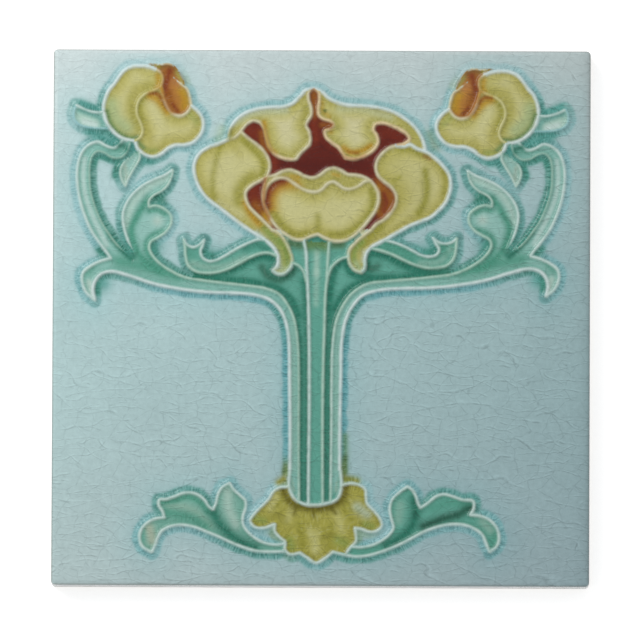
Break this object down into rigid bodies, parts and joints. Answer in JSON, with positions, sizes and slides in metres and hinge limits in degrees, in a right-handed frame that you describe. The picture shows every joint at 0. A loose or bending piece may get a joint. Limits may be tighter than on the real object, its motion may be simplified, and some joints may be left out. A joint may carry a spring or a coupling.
{
  "type": "art nouveau tile",
  "caption": "Square glazed ceramic wall tile with a raised flower, buds and scrolling leaves on its face.",
  "frame": {"origin": "centre of the back, in the plane that the tile lies on", "axes": "+Z out of the glazed face, +Y towards the top of the ornament, +X to the right seen from the front"},
  "size_m": [0.1524, 0.1524, 0.0104],
  "materials": {
    "glazed_tile": "glossy crazed majolica glaze on a cream biscuit body"
  },
  "bodies": {
    "root": {"tile": "glazed_tile"}
  },
  "joints": []
}
